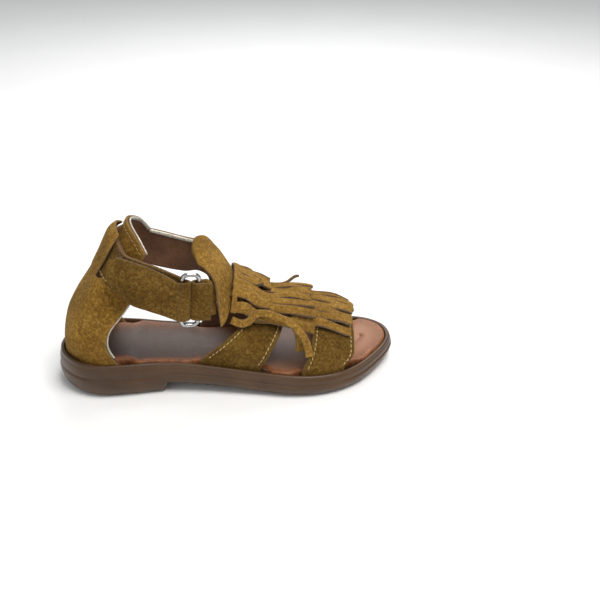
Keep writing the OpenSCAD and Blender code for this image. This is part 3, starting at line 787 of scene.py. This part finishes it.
BACK_LOOP = mirrored_rows([[[-59.5, -13.5, 56.3], [-61.9, -7, 56.4], [-62.4, 0, 56.4]],
                           [[-55.2, -14, 63], [-57.8, -7.3, 63.6], [-58.6, 0, 63.8]],
                           [[-50.2, -14, 71], [-52.8, -7.2, 73], [-53.5, 0, 73.8]],
                           [[-46.5, -9.5, 74.6], [-48.8, -5, 77], [-49.4, 0, 77.8]]])
BACK_FLAP = mirrored_rows([
    [[-46.2, -15.6, 57.5], [-51.6, -11, 57.5], [-55.2, -5.6, 57.5], [-56.2, 0, 57.5]],
    [[-40.4, -16.4, 62], [-47.6, -11.8, 64], [-51.3, -6, 65], [-52.3, 0, 65.3]],
    [[-36.8, -16.8, 66], [-43.4, -12.2, 70], [-47, -6.2, 72], [-48, 0, 72.7]],
    [[-35.6, -16.4, 68.6], [-39.4, -12.6, 75], [-43, -6.5, 78.6], [-44.4, 0, 80]]])


BACK_FLAP_T, BACK_FLAP_SEAM = 1.2, 2.4


def build_heel():
    leather("heel_suede", QUARTER_FACE, SUEDE_SET, ["heel_quarter"], step=0.8, wave=0.3, wave_size=13)
    leather("heel_lining_leather", QUARTER, LINING_SET, ["heel_lining"], thickness=LINING,
            off=-SUEDE - 2 * LAYER_GAP - STIFFENER, step=1.3, wave=0.12)
    leather("back_loop_suede", BACK_LOOP, SUEDE_SET, ["back_loop"], step=0.8, wave=0.25,
            us=(0.07, 0.93), round_r=0.7)
    leather("back_flap_suede", BACK_FLAP, SUEDE_SET, ["back_flap"], thickness=BACK_FLAP_T, step=0.8,
            wave=0.2, seams=[("v1", BACK_FLAP_SEAM)])
    leather("back_flap_lining_leather", BACK_FLAP, LINING_SET, ["back_flap_lining"], thickness=LINING,
            off=-BACK_FLAP_T - LAYER_GAP, step=1.1, wave=0.1)
    tubes = []
    for side in ("u0", "u1"):
        line, _ = grid_line(QUARTER, side, 0, vs=(0.19, 0.8), off=-UPPER_TOTAL * 0.62, ends=0.2)
        tubes.append(tube(line + np.array([0.3, 0, 0]), 0.5, flat=1.3, up=(1, 0, 0.01)))
    bound_edge("quarter_edge_binding", tubes, "quarter_binding")
    line, _ = grid_line(BACK_FLAP, "v1", 0.55, off=-BACK_FLAP_T - LAYER_GAP - LINING, ends=0.2)
    bound_edge("back_flap_edge_binding", [tube(line, 0.95, flat=0.45, up=(0.5, 0, 1))], "back_flap_binding")
    stitches("heel_stitching", [grid_line(BACK_FLAP, "v1", BACK_FLAP_SEAM, off=0.02)], dull_thread)


build_heel()

# ------------ forefoot straps

TOE_REAR = np.array([[36.5, -26.9, 18.5], [38.5, -22, 24.7], [40, -12, 29.6], [41, 0, 31.2],
                     [41, 12, 30.2], [40, 22, 25.5], [38, 26.8, 18.5]])
TOE_FRONT = np.array([[58.2, -21, 15.6], [59, -17, 20.4], [59.5, -9, 23.6], [60, 1, 24.6],
                      [60.5, 11, 24.2], [61.2, 20, 21], [62.4, 26, 15.5]])
SIDE_FRONT = np.array([[17.5, -27.4, 19], [22.6, -23.6, 27.2], [25.5, -15.5, 30], [27, -8, 31]])
SIDE_REAR = np.array([[-4, -23.4, 25], [4, -20.6, 31.4], [8, -14, 34.2], [10, -8, 35.4]])


def strap_row(t, upper):
    """Row of a strap that goes down inside the rim on both sides."""
    return [rim_point(t, 0), rim_point(t, 1), *upper.tolist(), rim_point(-t, 1), rim_point(-t, 0)]


def toe_grid():
    middle = (TOE_FRONT + TOE_REAR) / 2
    middle += np.column_stack([np.zeros(7), 0.03 * TOE_REAR[:, 1], np.full(7, 0.5)])
    return [strap_row(9.66, TOE_FRONT), strap_row(8.95, middle), strap_row(8.2, TOE_REAR)]


def side_row(k, t, upper):
    """Row of a side strap; k is 1 on the lateral side and -1 on the medial side."""
    return [rim_point(k * t, 0), rim_point(k * t, 1)] + [[x, k * y, z] for x, y, z in upper]


def side_grid(k):
    middle = (SIDE_FRONT + SIDE_REAR) / 2 + np.array([0, -0.7, 0])
    rows = [side_row(k, 7.17, SIDE_FRONT), side_row(k, 6.55, middle), side_row(k, 5.9, SIDE_REAR)]
    return rows if k > 0 else rows[::-1]


def build_straps():
    seam = 2.0
    straps = [("toe_strap", "toe_strap", toe_grid(), 11, (0.1, 0.9)),
              ("lateral_side", "lateral_side_strap", side_grid(1), 12, (0.22, 1)),
              ("medial_side", "medial_side_strap", side_grid(-1), 12, (0.22, 1))]
    rows = []
    for name, node, grid, wave_size, sewn in straps:
        leather(name + "_suede", grid, STRAP_PAINTED_SHADE_SET, [node], step=0.8, wave=0.35, wave_size=wave_size,
                seams=[("v0", seam), ("v1", seam)])
        leather(name + "_lining_leather", grid, LINING_SET, [name + "_lining"], thickness=LINING,
                off=-SUEDE - LAYER_GAP, step=1.3, wave=0.1)
        rows += [grid_line(grid, side, seam, us=sewn, off=0.02) for side in ("v0", "v1")]
    stitches("forefoot_stitching", rows, thread)


# ------------ T-strap and fringe


def arch_row(x, z, w, drop, back=0.0):
    """Row across the instep: half width w, its ends drop below and back behind its middle."""
    s = np.linspace(-1, 1, 7)
    return np.column_stack([x - back * s * s, w * np.sin(np.pi / 2 * s) * 0.35 + w * s * 0.65,
                            z - drop * s * s * (0.6 + 0.4 * s * s)])


T_STRAP = [arch_row(43.5, 26.6, 12, 2.4), arch_row(36, 31.2, 11.8, 2.6), arch_row(28, 36, 11.8, 3),
           arch_row(20, 38.6, 12.2, 3.4), arch_row(12, 40.2, 14, 4.4, 1),
           arch_row(4.6, 47.6, 17, 9, 2.4)]
TIERS = {
    1: [arch_row(21.5, 42.9, 19.6, 8.4, 2), arch_row(16, 45.8, 19.4, 9.6, 2),
        arch_row(10.5, 50, 19, 12, 2), arch_row(3.9, 53.4, 18.4, 14.4, 2.6)],
    2: [arch_row(41.5, 38.6, 19.6, 9, 1), arch_row(31, 41, 19, 8.6, 1),
        arch_row(21.5, 41, 18.4, 8.2, 1), arch_row(13, 42.4, 17.6, 8.6, 1)],
    3: [arch_row(61, 29, 16.2, 4.4, 2), arch_row(51, 33.6, 16.6, 4.8, 1.4),
        arch_row(40, 36.6, 16.6, 5.4, 1), arch_row(30, 38.6, 16, 6, 0.6)],
}
FRINGE_T = 1.25


def ribbon(centre, across, normal, width, seed):
    """Closed cut strip along a centre line; across and normal are unit vectors at each point."""
    m, w = len(centre), 5
    share = np.linspace(-1, 1, w)
    reach = share[None, :, None] * width[:, None, None] / 2
    top = centre[:, None] + across[:, None] * reach - normal[:, None] * (0.25 * share[None, :, None]**2)
    rough = 0.07 * lumps(top, 1.6, seed)
    top = top + normal[:, None] * rough[..., None]
    low = top - normal[:, None] * FRINGE_T
    verts = np.concatenate([top.reshape(-1, 3), low.reshape(-1, 3)])
    n = m * w
    faces, kinds = [], []
    for i in range(m - 1):
        for k in range(w - 1):
            a = i * w + k
            faces += [(a, a + 1, a + w + 1, a + w), (n + a, n + a + w, n + a + w + 1, n + a + 1)]
            kinds += [0, 1]
        a, b = i * w, i * w + w - 1
        faces += [(a, a + w, n + a + w, n + a), (b, n + b, n + b + w, b + w)]
        kinds += [2, 2]
    for k in range(w - 1):
        a, b = k, (m - 1) * w + k
        faces += [(a, n + a, n + a + 1, a + 1), (b, b + 1, n + b + 1, n + b)]
        kinds += [2, 2]
    edge = np.tile(np.exp(-(1 - np.abs(share)) * 2.2), m)
    return verts, faces, kinds, np.concatenate([edge, edge])


def strip_along(centre, across, width, seed, twist=0.0):
    """A strip along any centre line, its flat side set by the across directions."""
    run = unit(np.gradient(centre, axis=0))
    normal = unit(np.cross(run, across))
    across = np.cross(normal, run)
    angle = twist * smooth((np.linspace(0, 1, len(centre)) - 0.2) / 0.8)[:, None]
    flat = across * np.cos(angle) + normal * np.sin(angle)
    up = normal * np.cos(angle) - across * np.sin(angle)
    return ribbon(centre, flat, up, width, seed)


def strip_from_tier(tier, u, width, length, lift, twist, sway, seed, curl=0.0, drop=0.0):
    """One cut strip of a tier. It follows the tier, waves with its neighbours and ends its own way.

    lift raises the free end, curl turns its last part up and back, and drop lets it hang lower.
    """
    def across_tier(shift):
        return np.array([curve(row, np.clip(place_in + shift, 0, 1) * (len(row) - 1))[0]
                         for row, place_in in zip(rows, us)])

    s = np.linspace(0, 1, 34)
    v = 1 - length * s
    wave = 0.010 * np.sin(2 * np.pi * (0.95 * s + 0.1)) * smooth(s * 2)
    own = 0.0045 * np.sin(2 * np.pi * (1.7 * s + seed)) * smooth(s * 2)
    us = np.clip(u + wave + own + sway * s**1.5, 0.012, 0.988)
    rows = curve(tier, v * (len(tier) - 1))
    centre = across_tier(0)
    across = unit(across_tier(0.02) - across_tier(-0.02))
    run = np.gradient(centre, axis=0)
    normal = unit(np.cross(run, across))
    normal *= np.sign(normal[:, 2:3] + 1e-9)
    ripple = 0.35 * np.sin(2 * np.pi * (1.5 * s + seed * 1.7)) * smooth(s * 3)
    rise = ripple + lift * smooth((s - 0.3) / 0.7) + curl * smooth((s - 0.62) / 0.38)**1.6
    back = 0.45 * curl * smooth((s - 0.72) / 0.28)**2
    centre = centre + normal * rise[:, None] - unit(run) * back[:, None]
    centre[:, 2] -= drop * smooth((s - 0.35) / 0.65)
    wide = width * (1 - 0.08 * s) * (1 + 0.05 * np.sin(9 * s + seed))
    if np.dot(np.cross(run[0], across[0]), normal[0]) < 0:
        across = -across
    return strip_along(centre, across, wide, seed, twist)


# Two long strips hang freely: one along the outer edge to the toe strap, one tucked in behind it
LONG_STRIP = [[1.6, -20.4, 36.4], [5.6, -21.6, 35], [9.4, -22, 36], [12.6, -21.8, 39.4],
              [17, -21.6, 39.8], [22.6, -21.9, 38], [28, -22.4, 35], [32.4, -23.4, 31],
              [35.2, -24.8, 26.6], [36.4, -26.6, 22.4], [36.8, -28, 19.6]]
TUCKED_STRIP = [[29.5, -15.6, 32.4], [31, -18.4, 30], [32.4, -20.6, 26.6], [33, -21.8, 22.6],
                [32.4, -22.4, 19.4]]


def hanging_strip(points, seed):
    """A strip 3.4 mm wide along given points."""
    centre = curve(points, np.linspace(0, len(points) - 1, 48))
    run = np.gradient(centre, axis=0)
    across = unit(np.cross(run, np.array([0.05, -0.9, 0.42])))
    s = np.linspace(0, 1, len(centre))
    return strip_along(centre, -across, 3.4 * (1 + 0.06 * np.sin(7 * s + seed)), seed)


STRIPS = 9


def build_fringe(number, special, hanging=None):
    """One tier: its cut strips and its header band; both ride on the tier's body.

    special gives some strips, by number from the lateral side, settings of their own.
    """
    tier = np.asarray(TIERS[number], float)
    pitch = lengths_along(patch(tier, np.linspace(0, 1, 40), [0.6]))[0, -1] / STRIPS
    parts = []
    for k in range(STRIPS):
        settings = dict(width=pitch * rng.uniform(0.98, 1.05), length=rng.uniform(0.9, 1.0),
                        lift=0.45 * (k % 2) + rng.uniform(-0.1, 0.35), twist=rng.uniform(-0.2, 0.2),
                        sway=rng.uniform(-0.01, 0.01), seed=rng.uniform(0, 5))
        settings.update(special.get(k, {}))
        parts.append(strip_from_tier(tier, (k + 0.5) / STRIPS, **settings))
    if hanging is not None:
        parts.append(hanging_strip(hanging, number))
    verts, faces = join_parts([(v, f) for v, f, _, _ in parts])
    kinds = [kind for part in parts for kind in part[2]]
    edges = np.concatenate([part[3] for part in parts])
    slot, mats = FRINGE_PAINTED_LIGHT_SET
    body = f"fringe_{number}"
    obj = make_object(f"fringe_strips_{number}", verts, faces, mats, kinds, {"edge": edges})
    place(obj, slot, body, [f"fringe_tier_{number}"])
    leather(f"fringe_header_{number}", tier, FRINGE_PAINTED_LIGHT_SET, body=body, thickness=1.0, off=0.3, wave=0.1,
            vs=(0.87, 1))


build_straps()
leather("t_strap_suede", T_STRAP, SUEDE_SET, ["t_strap"], step=1.0, wave=0.15)
build_fringe(1, {0: dict(length=0.86), 3: dict(length=0.66, curl=2.6, lift=0.8, width=4.2),
                 5: dict(length=0.93), 8: dict(drop=1.5)}, LONG_STRIP)
build_fringe(2, {0: dict(drop=2.2, length=0.97), 1: dict(drop=0.8), 7: dict(curl=3.2, length=0.8),
                 8: dict(drop=3.5, sway=0.01, length=0.92)}, TUCKED_STRIP)
build_fringe(3, {0: dict(drop=1.0), 8: dict(drop=1.2)})

# ------------ collar and ankle strap

COLLAR_LOW = [[-0.8, -20.9, 32.5], [1.4, -15.8, 44.5], [2.8, -8, 49.4], [3.4, 1, 51],
              [2.8, 9, 49.6], [1.4, 16, 44.5], [-0.8, 20.6, 35.5]]
COLLAR_MID = [[-3.4, -21.4, 44.5], [-2.2, -16.4, 50.8], [-0.8, -8.4, 54.8], [-0.2, 1, 56.4],
              [-0.8, 9.2, 55], [-2.2, 16.6, 50.6], [-3.6, 21.2, 44.5]]
COLLAR_UP = [[-4.4, -20.6, 55.4], [-5, -15.8, 58.4], [-5.2, -8.4, 61], [-5, 1, 62.4],
             [-5.2, 9.2, 61.4], [-5.2, 16.2, 58.2], [-5, 20.8, 54.6]]
COLLAR_TOP = [[-8.6, -18.8, 61.2], [-9, -14.6, 63], [-9.4, -8.2, 65.4], [-9.5, 1, 66.6],
              [-9.4, 9, 65.8], [-9.2, 15, 63.2], [-9, 19.4, 60.6]]
# The shown collar's front edge, which reaches lower in the middle, to the first tier
COLLAR_HEM = [[-2.8, -21.7, 33.4], [0.2, -18.8, 37.4], [3.2, -9.8, 46.2], [4, 1, 48.6],
              [3.2, 10.4, 46.2], [0.2, 18.4, 37.4], [-2.8, 21.4, 34.4]]
COLLAR_DEPTH, STRAP_IN = 8.0, 1.9


def inward(q):
    """Unit vector from a collar point back and down, to the collar's inner layer."""
    d = np.array([-0.68, -q[1] / 15, -0.64 * (1 - abs(q[1]) / 34)])
    return unit(d)


def inner_row(row, depth=COLLAR_DEPTH, shift=(0, 0, 0)):
    return [list(np.array(q) + inward(q) * depth + np.array(shift)) for q in row]


def in_collar(v):
    """Points of the ankle strap inside the collar, from the medial side, at height v of its rows."""
    rows = [COLLAR_LOW, COLLAR_MID, COLLAR_UP, COLLAR_TOP]
    heights = [curve([row[column] for row in rows], [v])[0] for column in (6, 5, 4, 3)]
    return inner_row(heights, STRAP_IN)


COLLAR = [COLLAR_HEM, COLLAR_MID, COLLAR_UP, COLLAR_TOP,
          inner_row(COLLAR_TOP, COLLAR_DEPTH * 0.5, (-2.2, 0, 2)),
          inner_row(COLLAR_TOP), inner_row(COLLAR_UP), inner_row(COLLAR_MID)]
STRAP_TOP = [[-19.6, -21.4, 58.6], [-30, -22.2, 64.4], [-38, -22.2, 67.8], [-44.6, -20.4, 70.4],
             [-47.8, -11.8, 72.2], [-50.5, 0, 73.6], [-47.4, 11.8, 72], [-42.5, 20, 68.4],
             [-31, 21.8, 64.4], [-21, 21.4, 61.4], [-14.6, 20.2, 60.2]] + in_collar(2.75)
STRAP_LOW = [[-21.2, -21.8, 39.2], [-31, -23, 43.6], [-40, -23.4, 47.6], [-48.6, -21.8, 51.6],
             [-56.2, -14.2, 56.4], [-59.4, 0, 58], [-56.4, 14, 56], [-49.5, 21.6, 51.4],
             [-34, 23.2, 45.6], [-21, 22.4, 42.8], [-12.6, 21.8, 42.8]] + in_collar(0.3)
STRAP_MID = (np.array(STRAP_TOP) + np.array(STRAP_LOW)) / 2
STRAP_MID[:, 1] += 0.02 * np.array(STRAP_TOP)[:, 1]
STRAP = [STRAP_TOP, STRAP_MID, STRAP_LOW]
FLAP_TOP = [[-20.3, -26.9, 58.8], [-26, -26.6, 63], [-33, -26.4, 67], [-41.5, -26.3, 70.6],
            [-51.2, -23.2, 72.6]]
FLAP_LOW = [[-21.7, -26.9, 39.4], [-28, -26.8, 42.4], [-35.6, -26.9, 45.6], [-43.6, -26.8, 49.4],
            [-53.8, -23.2, 57.4]]
FLAP = [FLAP_TOP, FLAP_LOW]


def turned(a, b, angle):
    """Coordinates a and b after a turn from the first axis toward the second."""
    return a * math.cos(angle) - b * math.sin(angle), a * math.sin(angle) + b * math.cos(angle)


def ring_frame(local):
    """Points given with X from the rear bar to the front bar and Z along the bars."""
    x, y, z = np.moveaxis(np.asarray(local, float), -1, 0)
    x, y = turned(x, y, RING_YAW)
    z, x = turned(z, x, BAR_LEAN)
    return np.stack([x, y, z], -1) + REAR_BAR


def round_corners(p, n, s, t):
    """Draws in the corners of the flap's free end, the last millimetres of its length."""
    across = np.abs(2 * t[:, None] - 1)
    near = smooth((s[None, :] - 0.86) / 0.14)
    back = unit(p[:, :1] - p[:, -1:])
    middle = p[len(p) // 2][None]
    pull_back = 2.6 * near * across**3 * smooth((s[None, :] - 0.8) / 0.2)
    pull_in = 0.13 * near * across**2
    return p + back * pull_back[..., None] + (middle - p) * pull_in[..., None]


STRAP_SUEDE = SUEDE - 0.2
STRAP_SEAM = 1.6


def build_closure():
    leather("collar_suede", COLLAR, SUEDE_SET, ["collar_loop"], step=0.8, wave=0.4, wave_size=8)
    leather("ankle_strap_suede", STRAP, STRAP_PAINTED_SHADE_SET, ["ankle_strap"], thickness=STRAP_SUEDE, step=0.8,
            wave=0.12, seams=[("v0", STRAP_SEAM), ("v1", STRAP_SEAM)])
    leather("ankle_strap_lining_leather", STRAP, LINING_SET, ["ankle_strap_lining"], thickness=LINING,
            off=-STRAP_SUEDE - LAYER_GAP, step=1.0, wave=0.16, wave_size=6)
    line, _ = grid_line(STRAP, "v0", 0.6, us=(0.43, 0.78), off=-SUEDE - LINING, ends=0.1)
    bound_edge("ankle_strap_edge_piping", [tube(line, 0.95, flat=0.45)], "ankle_strap_piping")
    leather("loop_tape", STRAP, TAPE_SET, ["loop_patch"], thickness=TAPE, off=TAPE + 0.2, step=0.8,
            wave=0.1, nap=0.12, us=(0.065, 0.23), vs=(0.1, 0.9))
    leather("hook_tape", FLAP, TAPE_SET, ["hook_patch"], "flap", thickness=TAPE,
            off=-SUEDE + 0.1 - LAYER_GAP, step=0.8, wave=0.05, nap=0.12, us=(0.34, 0.88), vs=(0.12, 0.88))
    leather("closure_flap_suede", FLAP, STRAP_PAINTED_SHADE_SET, ["closure_flap"], "flap", thickness=SUEDE - 0.1,
            step=0.7, wave=0.35, wave_size=9, vs=(0.07, 1), round_r=0.6, shape=round_corners)
    upper_row = grid_line(STRAP, "v0", 1.0, us=(0.03, 0.3), off=0.05)
    stitches("ankle_strap_upper_stitching", [upper_row], dark_thread)
    rows = [grid_line(STRAP, side, STRAP_SEAM, us=(start, 0.7), off=0.02)
            for side, start in (("v0", 0.42), ("v1", 0.2))]
    stitches("ankle_strap_stitching", rows, thread)


def sweep_sheet(name, plan, low, high, thickness):
    """Suede that stands on a plan line in the ring's frame, between the rows of heights low and high."""
    rows = [[[x, y, z] for (x, y), z in zip(plan, heights)] for heights in (low, high)]
    slot, mats = STRAP_PAINTED_SHADE_SET
    obj = sheet(name, ring_frame(flip(rows)), mats, thickness, wave=0.1, step=0.6)
    return obj


def build_strap_fold():
    """The strap's turn round the ring's rear bar, between the shoe and the flap."""
    reach = FOLD_R + STRAP_SUEDE
    half_width = reach - 0.12
    turn = [(math.sin(a) * reach * 1.46, -math.cos(a) * half_width) for a in np.linspace(math.pi, 0, 9)]
    plan = [turned(x, y, -RING_YAW) for x, y in [(-1.4, half_width), *turn, (-1.4, -half_width)]]
    fold = sweep_sheet("strap_fold_suede", plan, [-9.5] * 11, [9.6] * 11, STRAP_SUEDE)
    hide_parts("strap_fold")
    fixed, moving = [(ring_frame([0, y, 0]) * MM).tolist() for y in (FOLD_R, -FOLD_R)]
    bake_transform(fold)


def build_keeper():
    """The short strap that holds the ring: round its front bar, its end cut at a slant."""
    thickness = 1.3
    side = WIRE / 2 + 0.3 + thickness
    arc = [(RING_WIDTH - math.sin(a) * side * 1.4, -math.cos(a) * side) for a in np.linspace(0, math.pi, 9)]
    tail_turn = math.radians(20)
    tail = [(RING_WIDTH + 4.2 + d * math.cos(tail_turn), side + d * math.sin(tail_turn))
            for d in (0, 2.2, 4.6)]
    plan = [(RING_WIDTH + 5.6, -side), (RING_WIDTH + 2.8, -side), *arc, (RING_WIDTH + 2.1, side), *tail]
    high = [9.2] * (len(plan) - 2) + [7.0, 2.0]
    keeper = sweep_sheet("ring_keeper_suede", plan, [-9.4] * len(plan), high, thickness)
    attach(keeper, "shoe")
    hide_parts("ring_strap")


build_closure()
build_strap_fold()
build_keeper()

# ------------ carried-over CAD nodes

CARRIED_OVER = {"ring": wire, "insole_board": board_mat, "footbed_foam": foam_mat,
                "heel_stiffener": counter_mat}
for name, material in CARRIED_OVER.items():
    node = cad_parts[name]
    if not node.data.materials:
        node.data.materials.append(material)
    for slot in node.material_slots:
        slot.material = material

# ------------ floor, light and camera, in metres


def area_light(name, location, target, size, power, colour=(1, 1, 1)):
    data = bpy.data.lights.new(name, "AREA")
    data.shape = "DISK"
    data.size = size
    data.energy = power
    data.color = colour
    obj = bpy.data.objects.new(name, data)
    obj.location = location
    obj.rotation_euler = (Vector(target) - Vector(location)).to_track_quat("-Z", "Y").to_euler()
    bpy.context.scene.collection.objects.link(obj)


def build_stage():
    bpy.ops.mesh.primitive_plane_add(size=6, location=(0, 0, -0.0002))
    floor = bpy.context.object
    floor.name = "floor"
    m = Nodes("floor_paper")
    colour = m.ramp(m.noise(60, 3, 0.5), [(0.3, (0.9, 0.9, 0.895)), (0.7, (0.92, 0.92, 0.915))])
    floor.data.materials.append(m.finish(colour, Roughness=0.9))
    world = bpy.data.worlds.new("studio")
    world.use_nodes = True
    background = world.node_tree.nodes["Background"]
    background.inputs["Color"].default_value = (0.96, 0.98, 1.0, 1)
    background.inputs["Strength"].default_value = 0.42
    bpy.context.scene.world = world
    area_light("key", (0.25, -0.25, 0.75), (0, 0, 0.03), 0.5, 5.5, (1, 0.98, 0.95))
    area_light("back", (0.1, 0.55, 0.6), (0, 0, 0.04), 0.6, 3.2)
    area_light("front_fill", (-0.3, -0.7, 0.4), (0, 0, 0.03), 0.6, 0.9)


def build_camera():
    """60 mm lens on a 36 mm sensor, from the outer side and above, turned slightly to the toe."""
    yaw, pitch = math.radians(4.38), math.radians(26.85)
    level = math.cos(pitch)
    ahead = Vector((math.sin(yaw) * level, math.cos(yaw) * level, -math.sin(pitch)))
    data = bpy.data.cameras.new("camera")
    data.lens = 60
    data.sensor_width = 36
    data.clip_start = 0.01
    cam = bpy.data.objects.new("camera", data)
    cam.location = (0.0020, -0.4246, 0.2506)
    cam.rotation_euler = ahead.to_track_quat("-Z", "Y").to_euler()
    bpy.context.scene.collection.objects.link(cam)
    bpy.context.scene.camera = cam


build_stage()
build_camera()
bpy.context.scene.view_settings.view_transform = "Standard"
